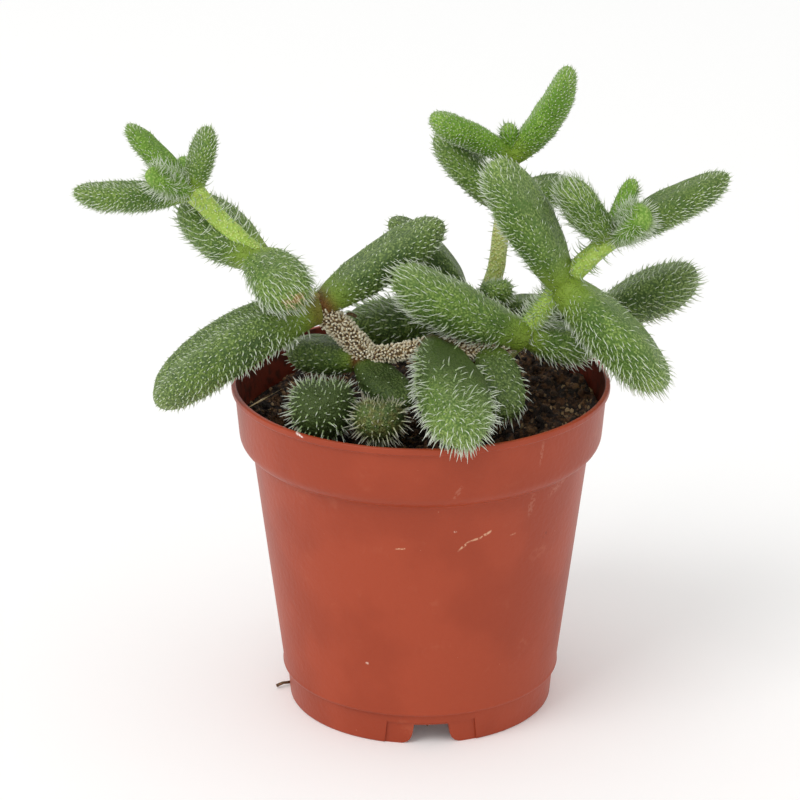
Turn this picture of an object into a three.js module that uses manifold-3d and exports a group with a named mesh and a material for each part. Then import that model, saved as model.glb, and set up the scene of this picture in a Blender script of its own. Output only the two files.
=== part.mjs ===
// A pickle plant, a small shrubby succulent with fat bristly leaves, in a thin moulded nursery pot.
// Millimetres, +Z up. Everything is laid out round the pot's own axis, with Z 0 on the surface it stands on,
// and the whole is then moved so that its overall box is centred over the origin.
import * as THREE from 'three';
import { mergeVertices } from 'three/addons/utils/BufferGeometryUtils.js';
import Module from 'manifold-3d';

const wasm = await Module();
wasm.setup();

// Pot
const POT_HEIGHT = 48.5;
const RIM_RADIUS = 27.5;
const WALL = 0.9;
const LIP = { depth: 0.9, round: 0.3 };
const COLLAR = { bottomZ: 39.2, topRadius: 26.7, bottomRadius: 25.2 };
const BODY = { topRadius: 23.9, bottomRadius: 19.75, bottomZ: 5.2 };
const FOOT = { topRadius: 19.25, bottomRadius: 18.8, topZ: 4.9 };
const FLOOR = { undersideZ: 3.1, topZ: 4 };
const NOTCHES = { count: 3, first: -85.5, topWidth: 4.9, bottomWidth: 5.8, corner: 0.9 };
const PANEL = { width: 12.6, height: 3.5, depth: 0.35 };
const DRAIN = { inner: 12.5, outer: 17.3 };
const POT_SIDES = 44;

// Soil
const SOIL_LEVEL = 43;
const SOIL_SLOPE = 0.06;
const SOIL_BUMP = 0.35;
const SOIL_SIDES = 24;
const SOIL_RINGS = 5;

// The shape that all leaves share, with depths as shares of a leaf's width
const FACE_DEPTH = 0.32;
const BACK_DEPTH = 0.46;
const NECK = 0.55;
const WIDEST_AT = 0.52;
const TIP_POWER = 2.7;
const LEAF_RINGS = [0, 0.12, 0.3, 0.52, 0.73, 0.87, 0.96, 1];
const LEAF_SIDES = { small: 8, large: 10, largeFrom: 5.5 };

// Stems
const STEM_SIDES = 8;
const STEM_STEP = 2.2;
const NODE_SWELL = 0.18;
const NODE_REACH = 3;
const STEM_FACE = new THREE.Vector3(0.3, -1, 0.2).normalize();

// Bristles on leaves and hairs on stems
const BRISTLE = { radius: 0.24, sunk: 0.5, sides: 3, lean: 0.4, fewest: 7, perArea: 0.07 };
const BARE_FACE = { cosine: 0.55, until: 0.8 };
const BRISTLES_FROM = 0.16;
const HAIR_LENGTH = 0.8;
const HAIRS_ABOVE_SOIL = 3;
const GOLDEN_ANGLE = Math.PI * (3 - Math.sqrt(5));

// The gap that neighbouring pieces keep
const CLEARANCE = 0.35;

// Surfaces
const TERRACOTTA = { color: 0xb0533a, roughness: 0.42 };
const PEAT = { color: 0x2c1d14, roughness: 0.95 };
const BARK = { color: 0xb9a070, roughness: 0.8 };
const YOUNG_STEM = { color: 0x9cc23f, roughness: 0.5 };
const OLD_STEM = { color: 0x9aa04c, roughness: 0.6 };
const OLD_LEAF = { color: 0x4f7a34, roughness: 0.55 };
const LEAF = { color: 0x5f9140, roughness: 0.5 };
const YOUNG_LEAF = { color: 0x78b045, roughness: 0.5 };

// Nodes are where the stems fork, bend and carry leaves
const NODES = {
  fork: [-8, -4, 53.5],
  leftFork: [-14.5, -4, 61],
  leftElbow: [-23, -3, 68],
  leftTop: [-32, -2, 77.5],
  frontFork: [2.5, -6, 55.5],
  lowFork: [9.5, -4.5, 54.5],
  rightFork: [14.5, -2, 56],
  rightElbow: [20, -3, 64],
  rightTop: [26.5, -2, 70.5],
  backFoot: [7, 9.5, 55],
  backFork: [10, 10, 58.5],
  backElbow: [12, 12, 71],
  backTop: [13, 12.5, 78],
  sideFoot: [12.5, 9, 49],
  sideTop: [24.5, 10, 54.5],
  frontLeftFoot: [-13.5, -5.5, 47.5],
  frontFoot: [-5.5, -11, 47.5],
};

// Each stem runs through its points in order. A name stands for a node. A stem grows out of the one named by
// from, or else out of the soil, and hairs tells how many of them stand on each millimetre.
const STEMS = {
  stem_trunk: {
    look: BARK, radius: 1.5, hairs: 1.4,
    path: [[-6, 2, 36], 'fork', 'leftFork'],
  },
  stem_branch: {
    look: BARK, radius: 1.1, hairs: 1.4, from: 'stem_trunk',
    path: ['fork', 'frontFork', 'lowFork', 'rightFork'],
  },
  stem_left: {
    look: YOUNG_STEM, radius: 1.4, hairs: 0.4, from: 'stem_trunk',
    path: ['leftFork', 'leftElbow', 'leftTop'],
  },
  stem_right: {
    look: YOUNG_STEM, radius: 1.45, hairs: 0.8, from: 'stem_branch',
    path: ['rightFork', 'rightElbow', 'rightTop'],
  },
  stem_back: {
    look: OLD_STEM, radius: 1.2, hairs: 0.4,
    path: [[3, 9, 36], 'backFoot', 'backFork', 'backElbow', 'backTop'],
  },
  stem_side: {
    look: OLD_STEM, radius: 1.1, hairs: 0.4,
    path: [[10, 6, 36], 'sideFoot', 'sideTop'],
  },
  stem_front_left: {
    look: OLD_STEM, radius: 1.1, hairs: 0,
    path: [[-14, -3, 37], 'frontLeftFoot'],
  },
  stem_front: {
    look: OLD_STEM, radius: 1.1, hairs: 0,
    path: [[-5, -9.5, 37], 'frontFoot'],
  },
};

// The leaves at each node, each with the place of its tip. width is across the flat face, and bristle is how
// long its bristles are. Where it isn't a plain leaf, arch lifts its middle towards that face, roll turns the
// face about the leaf's length from looking up, in degrees, and plump is how thick it is against the others.
const LEAVES = {
  leftFork: {
    leaf_left_long: { look: OLD_LEAF, tip: [-37, -11, 48.5], width: 9.4, arch: 2, bristle: 1.3 },
    leaf_left_inner: { look: OLD_LEAF, tip: [3, 3, 71], width: 7.6, arch: 0.4, bristle: 1 },
  },
  leftElbow: {
    leaf_left_behind: { look: LEAF, tip: [-33, 4, 74.5], width: 7, arch: -0.8, bristle: 1.3 },
    leaf_left_towards: { look: LEAF, tip: [-17.5, -14, 65.5], width: 8, arch: 0.3, bristle: 1.5 },
  },
  leftTop: {
    leaf_left_tip_out: { look: LEAF, tip: [-48, -5, 77.5], width: 5.2, arch: -0.9, bristle: 0.8 },
    leaf_left_tip_up: { look: LEAF, tip: [-29.5, -1, 86.5], width: 3.9, bristle: 0.8 },
    leaf_left_tip_back: { look: YOUNG_LEAF, tip: [-41, 3, 85.5], width: 3.8, arch: -0.3, bristle: 0.8 },
    leaf_left_bud: { look: YOUNG_LEAF, tip: [-37.5, -9, 82], width: 3.6, bristle: 1 },
    leaf_left_bud_back: { look: YOUNG_LEAF, tip: [-33.5, 4, 80.5], width: 2.8, bristle: 0.8 },
  },
  fork: {
    leaf_fork_right: { look: OLD_LEAF, tip: [-2, -11.5, 51], width: 7, bristle: 0.8 },
    leaf_fork_left: { look: OLD_LEAF, tip: [-19, 1, 53], width: 6.8, bristle: 0.8 },
  },
  frontFork: {
    leaf_front_long: { look: LEAF, tip: [5.5, -31.5, 52], width: 10, arch: 0.6, roll: -25, bristle: 1.6 },
  },
  lowFork: {
    leaf_front_hanging: { look: OLD_LEAF, tip: [12, -13, 47.5], width: 6.6, arch: 0.8, bristle: 1.5 },
  },
  rightFork: {
    leaf_right_long: { look: LEAF, tip: [-3.5, -8, 67.5], width: 9.4, arch: -0.2, bristle: 1.5 },
    leaf_right_low: { look: LEAF, tip: [25, 1, 53.5], width: 7, bristle: 1.4 },
  },
  rightElbow: {
    leaf_right_raised: { look: LEAF, tip: [9.5, -6, 82.5], width: 8.4, arch: 0.4, roll: -35, bristle: 1.2 },
    leaf_right_hanging: { look: LEAF, tip: [33.5, -10, 50.5], width: 9.6, arch: 0.4, bristle: 1.5 },
  },
  rightTop: {
    leaf_right_tip_left: { look: LEAF, tip: [19, -6, 81], width: 5.8, arch: -0.4, bristle: 1.5 },
    leaf_right_tip_out: { look: LEAF, tip: [43, 2, 78], width: 5.9, arch: -0.6, bristle: 0.9 },
    leaf_right_bud: { look: YOUNG_LEAF, tip: [31, -7.5, 76], width: 4.4, bristle: 1.2 },
    leaf_right_bud_back: { look: YOUNG_LEAF, tip: [30, 3, 77.5], width: 3.4, bristle: 0.8 },
  },
  backFoot: {
    leaf_middle: { look: OLD_LEAF, tip: [-10.5, 2, 56], width: 8.4, bristle: 0.9 },
    leaf_back_inner: { look: OLD_LEAF, tip: [-4.5, 11, 69], width: 6.2, arch: 1.6, bristle: 1 },
  },
  backFork: {
    leaf_back_stub: { look: LEAF, tip: [11.5, 3, 61], width: 4.2, bristle: 0.9 },
  },
  backElbow: {
    leaf_back_left: { look: LEAF, tip: [2.5, 15, 81], width: 6.6, bristle: 0.9 },
    leaf_back_right: { look: LEAF, tip: [22, 17, 72.5], width: 6, bristle: 1 },
  },
  backTop: {
    leaf_back_tip_left: { look: YOUNG_LEAF, tip: [1.5, 8, 85], width: 5.3, arch: 0.4, bristle: 0.7 },
    leaf_back_tip_right: { look: YOUNG_LEAF, tip: [21, 12, 91.5], width: 5.4, arch: -0.8, bristle: 0.7 },
    leaf_back_bud: { look: YOUNG_LEAF, tip: [12.5, 12, 83.5], width: 3, bristle: 0.7 },
  },
  sideTop: {
    leaf_side_out: { look: OLD_LEAF, tip: [39.5, 8, 62], width: 8.4, bristle: 1.2 },
    leaf_side_in: { look: OLD_LEAF, tip: [12, 13, 55.5], width: 5.6, bristle: 1 },
  },
  frontLeftFoot: {
    leaf_front_ball: { look: OLD_LEAF, tip: [-14, -19, 51.5], width: 8.8, plump: 1.2, bristle: 1.6 },
  },
  frontFoot: {
    leaf_front_low: { look: OLD_LEAF, tip: [-6, -20.5, 50.3], width: 7.2, bristle: 1.6 },
  },
};

// SOLIDS AND MESHES

// A closed geometry as a solid that can be cut and joined
function solid(geometry) {
  const bare = geometry.index ? geometry.toNonIndexed() : geometry.clone();
  bare.deleteAttribute('normal');
  bare.deleteAttribute('uv');
  const merged = mergeVertices(bare, 1e-4);
  return new wasm.Manifold(new wasm.Mesh({
    numProp: 3,
    vertProperties: new Float32Array(merged.attributes.position.array),
    triVerts: new Uint32Array(merged.index.array),
  }));
}

// The largest piece of a solid, without the scraps that a cut leaves behind
function largest(shape) {
  return shape.decompose().sort((a, b) => b.volume() - a.volume())[0];
}

function mesh(name, shape, look) {
  const made = shape.getMesh();
  const geometry = new THREE.BufferGeometry();
  geometry.setAttribute('position', new THREE.BufferAttribute(new Float32Array(made.vertProperties), 3));
  geometry.setIndex(new THREE.BufferAttribute(new Uint32Array(made.triVerts), 1));
  geometry.computeVertexNormals();
  const result = new THREE.Mesh(geometry, new THREE.MeshStandardMaterial({ metalness: 0, ...look }));
  result.name = name;
  return result;
}

// A profile of [radius, height] pairs turned about +Z
function turned(profile, sides) {
  const points = profile.map(([radius, height]) => new THREE.Vector2(radius, height));
  return new THREE.LatheGeometry(points, sides).rotateX(Math.PI / 2);
}

// POT

function bodyRadius(z) {
  const share = (z - BODY.bottomZ) / (COLLAR.bottomZ - BODY.bottomZ);
  return THREE.MathUtils.lerp(BODY.bottomRadius, BODY.topRadius, share);
}

// The wall from the middle of the floor's underside, out and up to the rim, and back down inside
function potProfile() {
  const lipBottom = POT_HEIGHT - LIP.depth;
  return [
    [0, FLOOR.undersideZ],
    [FOOT.bottomRadius - WALL, FLOOR.undersideZ],
    [FOOT.bottomRadius - WALL, 0],
    [FOOT.bottomRadius, 0],
    [FOOT.topRadius, FOOT.topZ],
    [BODY.bottomRadius, BODY.bottomZ],
    [BODY.topRadius, COLLAR.bottomZ - LIP.round],
    [COLLAR.bottomRadius - LIP.round, COLLAR.bottomZ],
    [COLLAR.bottomRadius, COLLAR.bottomZ + LIP.round],
    [COLLAR.topRadius, lipBottom - LIP.round],
    [RIM_RADIUS, lipBottom],
    [RIM_RADIUS, POT_HEIGHT - LIP.round],
    [RIM_RADIUS - LIP.round, POT_HEIGHT],
    [COLLAR.topRadius - WALL, POT_HEIGHT],
    [COLLAR.bottomRadius - WALL, COLLAR.bottomZ + WALL],
    [bodyRadius(COLLAR.bottomZ) - WALL, COLLAR.bottomZ - WALL],
    [BODY.bottomRadius - WALL, FLOOR.topZ],
    [0, FLOOR.topZ],
  ];
}

// The outline of one notch, open at the bottom and spreading there with round corners
function notchOutline() {
  const top = NOTCHES.topWidth / 2;
  const bottom = NOTCHES.bottomWidth / 2;
  const { corner } = NOTCHES;
  const outline = new THREE.Shape();
  outline.moveTo(-top, FLOOR.undersideZ);
  outline.lineTo(-bottom, corner);
  outline.quadraticCurveTo(-bottom, 0, -bottom - corner, 0);
  outline.lineTo(-bottom - corner, -corner);
  outline.lineTo(bottom + corner, -corner);
  outline.lineTo(bottom + corner, 0);
  outline.quadraticCurveTo(bottom, 0, bottom, corner);
  outline.lineTo(top, FLOOR.undersideZ);
  return outline;
}

// A turned skin round the foot, from just under the panel's surface outwards
function footSkin() {
  return turned([
    [FOOT.bottomRadius - PANEL.depth, -WALL],
    [RIM_RADIUS, -WALL],
    [RIM_RADIUS, FOOT.topZ],
    [FOOT.topRadius - PANEL.depth, FOOT.topZ],
    [FOOT.bottomRadius - PANEL.depth, -WALL],
  ], POT_SIDES);
}

// What is cut away at one notch: the notch, the shallow panel round it and the drain slot in the floor.
// Each is shaped on the -Y side and turned to its place.
function notchCuts(azimuth) {
  const turn = THREE.MathUtils.degToRad(azimuth + 90);
  const through = new THREE.ExtrudeGeometry(notchOutline(), {
    depth: RIM_RADIUS - DRAIN.outer + 2 * WALL, bevelEnabled: false, curveSegments: 3,
  });
  through.rotateX(Math.PI / 2).translate(0, 2 * WALL - DRAIN.outer, 0);
  const front = new THREE.BoxGeometry(PANEL.width, RIM_RADIUS, PANEL.height + WALL);
  front.translate(0, -RIM_RADIUS / 2 - DRAIN.inner, (PANEL.height - WALL) / 2);
  const slot = new THREE.BoxGeometry(NOTCHES.topWidth, DRAIN.outer - DRAIN.inner, 4 * WALL);
  slot.translate(0, -(DRAIN.inner + DRAIN.outer) / 2, FLOOR.topZ);
  const panel = solid(front.rotateZ(turn)).intersect(solid(footSkin()));
  return [panel, solid(through.rotateZ(turn)), solid(slot.rotateZ(turn))];
}

function potBody() {
  let pot = solid(turned(potProfile(), POT_SIDES));
  for (let i = 0; i < NOTCHES.count; i += 1) {
    for (const cut of notchCuts(NOTCHES.first + i * 360 / NOTCHES.count)) {
      pot = pot.subtract(cut);
    }
  }
  return pot;
}

// SOIL

// The soil rises a little to the back right, in lumps made of three crossing waves
function soilHeight(x, y) {
  const lumps = Math.sin(0.9 * x + 1.3 * y)
    + Math.sin(1.7 * x - 0.8 * y + 2)
    + Math.sin(0.6 * y - 1.1 * x + 4);
  return SOIL_LEVEL + SOIL_SLOPE * (x + y) + SOIL_BUMP * lumps;
}

// The soil fills the pot, a clearance away from its wall, and each stem stands in a hole of its own
function soilBody(stems) {
  const inside = WALL + 1.5 * CLEARANCE;
  const topRadius = COLLAR.bottomRadius - inside;
  const bottomZ = FLOOR.topZ + CLEARANCE;
  const profile = [
    [0, bottomZ],
    [BODY.bottomRadius - inside, bottomZ],
    [bodyRadius(COLLAR.bottomZ) - inside, COLLAR.bottomZ - WALL],
    [topRadius, COLLAR.bottomZ + 2 * WALL],
  ];
  for (let i = 0; i < SOIL_RINGS; i += 1) {
    profile.push([topRadius * (1 - i / SOIL_RINGS), SOIL_LEVEL]);
  }
  profile.push([0, SOIL_LEVEL]);
  const geometry = turned(profile, SOIL_SIDES);
  const place = geometry.attributes.position;
  for (let i = 0; i < place.count; i += 1) {
    if (place.getZ(i) > SOIL_LEVEL - CLEARANCE) {
      place.setZ(i, soilHeight(place.getX(i), place.getY(i)));
    }
  }
  return stems.reduce((soil, stem) => soil.subtract(stem.grown), solid(geometry));
}

// CURVES WITH A BODY

function point(place) {
  return new THREE.Vector3(...(typeof place === 'string' ? NODES[place] : place));
}

// The place at share t of a curve, which runs straight on past its two ends
function placeOn(curve, t) {
  const inside = THREE.MathUtils.clamp(t, 0, 1);
  const past = (t - inside) * curve.getLength();
  return curve.getPoint(inside).addScaledVector(curve.getTangent(inside), past);
}

// The surface point beside a curve at share t. x runs sideways and z towards the face, each from -1 to 1, and
// the last argument is how far the surface stands off there: sideways, towards the face, and behind.
function surfacePoint(curve, face, t, x, z, [side, front, back]) {
  const along = curve.getTangent(THREE.MathUtils.clamp(t, 0, 1));
  const up = face.clone().addScaledVector(along, -face.dot(along)).normalize();
  const across = new THREE.Vector3().crossVectors(along, up);
  return placeOn(curve, t)
    .addScaledVector(across, x * side)
    .addScaledVector(up, z * (z > 0 ? front : back));
}

// A closed tube along a curve, with a ring at each share of its length and size(t) as above
function swept(curve, face, rings, sides, size) {
  const profile = rings.map((t) => new THREE.Vector2(1, t));
  const closed = [new THREE.Vector2(0, rings[0]), ...profile, new THREE.Vector2(0, rings.at(-1))];
  const geometry = new THREE.LatheGeometry(closed, sides);
  const place = geometry.attributes.position;
  for (let i = 0; i < place.count; i += 1) {
    const t = place.getY(i);
    const onSurface = surfacePoint(curve, face, t, place.getX(i), place.getZ(i), size(Math.min(t, 1)));
    place.setXYZ(i, onSurface.x, onSurface.y, onSurface.z);
  }
  return geometry;
}

// LEAVES

// The width of a leaf at share t of its length, against its full width: a neck, a full middle, a round tip
function leafOutline(t) {
  if (t < WIDEST_AT) {
    return NECK + (1 - NECK) * Math.sin(Math.PI / 2 * t / WIDEST_AT);
  }
  return Math.sqrt(1 - ((t - WIDEST_AT) / (1 - WIDEST_AT)) ** TIP_POWER);
}

// How far a leaf's surface stands off its middle line: sideways, towards its face, and behind
function leafSize(leaf, t) {
  const across = leafOutline(t) * leaf.width;
  const deep = across * (leaf.plump ?? 1);
  return [across / 2, deep * FACE_DEPTH, deep * BACK_DEPTH];
}

// The way a leaf's flat face looks: as far up as its length lets it, then rolled about that length
function leafFace(leaf) {
  const along = point(leaf.tip).sub(point(leaf.node)).normalize();
  const up = new THREE.Vector3(0, 0, 1).addScaledVector(along, -along.z).normalize();
  return up.applyAxisAngle(along, THREE.MathUtils.degToRad(leaf.roll ?? 0));
}

function leafCurve(leaf) {
  const middle = point(leaf.node).add(point(leaf.tip)).multiplyScalar(0.5);
  middle.addScaledVector(leafFace(leaf), 2 * (leaf.arch ?? 0));
  return new THREE.QuadraticBezierCurve3(point(leaf.node), middle, point(leaf.tip));
}

// Everything past a plane through a place, as a block to cut with
function farSide(place, direction) {
  const block = new THREE.BoxGeometry(POT_HEIGHT, POT_HEIGHT, POT_HEIGHT).translate(0, 0, POT_HEIGHT / 2);
  const turn = new THREE.Quaternion().setFromUnitVectors(new THREE.Vector3(0, 0, 1), direction);
  return solid(block.applyQuaternion(turn).translate(place.x, place.y, place.z));
}

// A leaf starts in the middle of its node, so it is cut back to clear the stems there. Where it shares the node
// with other leaves, each of them stops short of the plane midway between.
function leafBody(leaf, leaves, stems) {
  const sides = leaf.width < LEAF_SIDES.largeFrom ? LEAF_SIDES.small : LEAF_SIDES.large;
  const size = (t) => leafSize(leaf, t);
  let body = solid(swept(leafCurve(leaf), leafFace(leaf), LEAF_RINGS, sides, size));
  const own = leafCurve(leaf).getTangent(0);
  for (const mate of leaves.filter((other) => other.node === leaf.node && other !== leaf)) {
    const away = leafCurve(mate).getTangent(0).sub(own).normalize();
    const stop = point(leaf.node).addScaledVector(away, -CLEARANCE / 2);
    body = body.subtract(farSide(stop, away));
  }
  for (const stem of stems.filter((other) => other.path.includes(leaf.node))) {
    body = body.subtract(stem.grown);
  }
  return largest(body);
}

// STEMS

function stemCurve(stem) {
  return new THREE.CatmullRomCurve3(stem.path.map(point), false, 'centripetal');
}

// A stem swells a little round each of its nodes
function stemRadius(stem, place) {
  const near = Math.min(...stem.path.map((node) => point(node).distanceTo(place)));
  return stem.radius * (1 + NODE_SWELL * Math.exp(-near * near / NODE_REACH));
}

// The stem, made larger on all sides and at its ends by extra
function stemBody(stem, extra) {
  const curve = stemCurve(stem);
  const count = Math.max(4, Math.round(curve.getLength() / STEM_STEP));
  const past = extra / curve.getLength();
  const rings = Array.from({ length: count + 1 }, (_, i) => (
    THREE.MathUtils.lerp(-past, 1 + past, i / count)
  ));
  const size = (t) => {
    const radius = stemRadius(stem, placeOn(curve, t)) + extra;
    return [radius, radius, radius];
  };
  return solid(swept(curve, STEM_FACE, rings, STEM_SIDES, size));
}

// BRISTLES

// A three-sided bristle standing on a surface at root, its foot sunk into what it grows from
function bristle(root, direction, length) {
  const whole = length + BRISTLE.sunk;
  const cone = new THREE.ConeGeometry(BRISTLE.radius, whole, BRISTLE.sides);
  cone.translate(0, whole / 2 - BRISTLE.sunk, 0);
  cone.applyQuaternion(new THREE.Quaternion().setFromUnitVectors(new THREE.Vector3(0, 1, 0), direction));
  return solid(cone.translate(root.x, root.y, root.z));
}

// The bristle at share t of a leaf, turned by angle from its flat face, square to the surface but for a lean
// towards the leaf's tip
function leafBristle(leaf, t, angle) {
  const curve = leafCurve(leaf);
  const size = leafSize(leaf, t);
  const root = surfacePoint(curve, leafFace(leaf), t, Math.sin(angle), Math.cos(angle), size);
  const step = 0.02;
  const narrowing = (size[0] - leafSize(leaf, Math.min(1, t + step))[0]) / (step * curve.getLength());
  const direction = root.clone().sub(curve.getPoint(t)).normalize();
  direction.addScaledVector(curve.getTangent(t), narrowing + BRISTLE.lean).normalize();
  return bristle(root, direction, leaf.bristle);
}

// Bristles spread evenly by the golden angle, with the middle of the flat face bare, and one at the very tip
function leafBristles(leaf) {
  const curve = leafCurve(leaf);
  const count = Math.round(BRISTLE.fewest + BRISTLE.perArea * curve.getLength() * leaf.width);
  const found = [bristle(point(leaf.tip), curve.getTangent(1), leaf.bristle)];
  for (let i = 0; i < count; i += 1) {
    const t = THREE.MathUtils.lerp(BRISTLES_FROM, 1, (i + 0.5) / count);
    const angle = i * GOLDEN_ANGLE;
    const onFace = Math.cos(angle) > BARE_FACE.cosine && t < BARE_FACE.until;
    found.push(leafBristle(leaf, t, onFace ? angle + Math.PI : angle));
  }
  return found;
}

// Short hairs on a stem, above the soil only
function stemHairs(stem) {
  const curve = stemCurve(stem);
  const count = Math.round(curve.getLength() * stem.hairs);
  const found = [];
  for (let i = 0; i < count; i += 1) {
    const t = (i + 0.5) / count;
    const middle = curve.getPoint(t);
    const size = Array(3).fill(stemRadius(stem, middle));
    const angle = i * GOLDEN_ANGLE;
    const root = surfacePoint(curve, STEM_FACE, t, Math.sin(angle), Math.cos(angle), size);
    if (root.z > SOIL_LEVEL + HAIRS_ABOVE_SOIL) {
      found.push(bristle(root, root.clone().sub(middle).normalize(), HAIR_LENGTH));
    }
  }
  return found;
}

function boxesMeet(a, b) {
  const first = a.boundingBox();
  const second = b.boundingBox();
  return [0, 1, 2].every((k) => (
    first.min[k] - CLEARANCE < second.max[k] && second.min[k] - CLEARANCE < first.max[k]
  ));
}

// Whether a bristle keeps clear of all these solids
function standsClear(needle, others) {
  const near = others.filter((other) => boxesMeet(needle, other));
  return near.every((other) => needle.minGap(other, 2 * CLEARANCE) >= CLEARANCE);
}

// Gives each part its bristles, but for those that would come too near to another part or to its bristles
function grownOver(parts) {
  const standing = [];
  return parts.map((part) => {
    const bodies = parts.filter((other) => other !== part).map((other) => other.body);
    const others = [...bodies, ...standing];
    const kept = part.bristles.filter((needle) => standsClear(needle, others));
    standing.push(...kept);
    return { ...part, body: wasm.Manifold.union([part.body, ...kept]) };
  });
}

// ASSEMBLY

const stems = Object.entries(STEMS).map(([name, stem]) => ({
  name,
  ...stem,
  body: stemBody(stem, 0),
  grown: stemBody(stem, CLEARANCE),
  bristles: stemHairs(stem),
}));
for (const stem of stems.filter((other) => other.from)) {
  const parent = stems.find((other) => other.name === stem.from);
  stem.body = largest(stem.body.subtract(parent.grown));
}

const leafPlans = Object.entries(LEAVES).flatMap(([node, group]) => (
  Object.entries(group).map(([name, leaf]) => ({ name, node, ...leaf }))
));
const leaves = leafPlans.map((leaf) => ({
  ...leaf,
  body: leafBody(leaf, leafPlans, stems),
  bristles: leafBristles(leaf),
}));

const pot = { name: 'pot', look: TERRACOTTA, body: potBody(), bristles: [] };
const soil = { name: 'soil', look: PEAT, body: soilBody(stems), bristles: [] };

const plant = new THREE.Group();
for (const part of grownOver([pot, soil, ...stems, ...leaves])) {
  plant.add(mesh(part.name, part.body, part.look));
}

const middle = new THREE.Box3().setFromObject(plant).getCenter(new THREE.Vector3());
plant.position.set(-middle.x, -middle.y, 0);

export default plant;
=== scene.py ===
"""A pickle plant with fat bristly leaves, in a thin moulded nursery pot.

The plant's tables are in millimetres round the pot's own axis, with Z 0 on the surface it stands on.
"""
import math

import bpy
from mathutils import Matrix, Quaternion, Vector, noise


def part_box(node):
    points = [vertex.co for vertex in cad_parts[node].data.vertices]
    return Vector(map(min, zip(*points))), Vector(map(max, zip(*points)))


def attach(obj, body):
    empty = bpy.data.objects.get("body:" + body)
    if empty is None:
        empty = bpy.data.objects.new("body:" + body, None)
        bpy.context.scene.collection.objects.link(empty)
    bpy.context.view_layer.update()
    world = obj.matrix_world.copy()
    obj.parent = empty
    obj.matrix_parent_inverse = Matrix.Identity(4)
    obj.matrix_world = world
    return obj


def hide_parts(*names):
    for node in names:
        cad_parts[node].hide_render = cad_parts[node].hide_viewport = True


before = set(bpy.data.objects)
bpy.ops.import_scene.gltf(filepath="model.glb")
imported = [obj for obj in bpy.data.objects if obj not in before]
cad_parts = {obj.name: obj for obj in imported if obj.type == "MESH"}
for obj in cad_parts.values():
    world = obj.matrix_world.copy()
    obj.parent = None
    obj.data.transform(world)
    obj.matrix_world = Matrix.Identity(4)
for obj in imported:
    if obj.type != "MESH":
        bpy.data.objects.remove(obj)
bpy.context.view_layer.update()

MM = 0.001
UP = Vector((0, 0, 1))
pot_low, pot_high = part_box("pot")
POT_AXIS = Vector(((pot_low.x + pot_high.x) / 2, (pot_low.y + pot_high.y) / 2, 0))


def placed(point):
    """A point in millimetres round the pot's axis, in the frame's metres."""
    return POT_AXIS + MM * Vector(point)


def linked(name, data):
    """A new object of the scene with this data."""
    made = bpy.data.objects.new(name, data)
    bpy.context.scene.collection.objects.link(made)
    return made


# CAMERA

# Fitted to the pot's rim and foot in the photo
CAMERA_PLACE = (-2.96, -467.1, 226.3)
CAMERA_TILT = 68.82
CAMERA_LENS = 157.5
SENSOR_WIDTH = 36

camera_data = bpy.data.cameras.new("camera")
camera_data.sensor_width = SENSOR_WIDTH
camera_data.lens = CAMERA_LENS
camera = linked("camera", camera_data)
camera.location = placed(CAMERA_PLACE)
camera.rotation_euler = (math.radians(CAMERA_TILT), 0, 0)
bpy.context.scene.camera = camera


# THE PLANT'S MEASURES

# Nodes are where the stems fork, bend and carry leaves
NODES = {
    "fork": (-8, -4, 53.5),
    "leftFork": (-14.5, -4, 61),
    "leftElbow": (-23, -3, 68),
    "leftTop": (-32, -2, 77.5),
    "frontFork": (2.5, -6, 55.5),
    "lowFork": (9.5, -4.5, 54.5),
    "rightFork": (14.5, -2, 56),
    "rightElbow": (20, -3, 64),
    "rightTop": (26.5, -2, 70.5),
    "backFoot": (7, 9.5, 55),
    "backFork": (10, 10, 58.5),
    "backElbow": (12, 12, 71),
    "backTop": (13, 12.5, 78),
    "sideFoot": (12.5, 9, 49),
    "sideTop": (24.5, 10, 54.5),
    "frontLeftFoot": (-13.5, -5.5, 47.5),
    "frontFoot": (-5.5, -11, 47.5),
}

# A stem's look, its radius and the points that it runs through
STEMS = {
    "stem_trunk": ("bark", 1.5, [(-6, 2, 36), "fork", "leftFork"]),
    "stem_branch": ("bark", 1.1, ["fork", "frontFork", "lowFork", "rightFork"]),
    "stem_left": ("young_stem", 1.4, ["leftFork", "leftElbow", "leftTop"]),
    "stem_right": ("young_stem", 1.45, ["rightFork", "rightElbow", "rightTop"]),
    "stem_back": ("old_stem", 1.2, [(3, 9, 36), "backFoot", "backFork", "backElbow", "backTop"]),
    "stem_side": ("old_stem", 1.1, [(10, 6, 36), "sideFoot", "sideTop"]),
    "stem_front_left": ("old_stem", 1.1, [(-14, -3, 37), "frontLeftFoot"]),
    "stem_front": ("old_stem", 1.1, [(-5, -9.5, 37), "frontFoot"]),
}
NODE_SWELL = 0.18
NODE_REACH = 3

# The shape that all leaves share, with depths as shares of a leaf's width
FACE_DEPTH = 0.32
BACK_DEPTH = 0.46
NECK = 0.55
WIDEST_AT = 0.52
TIP_POWER = 2.7
FACE_SQUARENESS = 2.7
OUTLINE_STEPS = 18
LINE_STEPS = 32
LEAF_SIDES = 44
LEAF_RINGS = 56
# How far the groove along the face reaches, as a share of half the width
GROOVE_EDGE = 0.6
# The length and height of the waves that make a skin uneven
LEAF_WAVES = ((7, 0.5), (2, 0.12))
STEM_WAVES = ((3, 0.25), (0.8, 0.06))
STEM_SIDES = 20

# What a coat of bristles or hairs is given, its sizes first. blunt is how thick a tip stays, lean how far a
# bristle leans towards the end of its leaf or stem, and unruly how much it strays. Real ones are about 0.1 mm
# thick, and most are drawn stouter, so that they show.
COAT = ("spacing", "length", "girth", "blunt", "curl", "lean", "unruly")
COAT_SIZES = COAT[:3]

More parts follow.
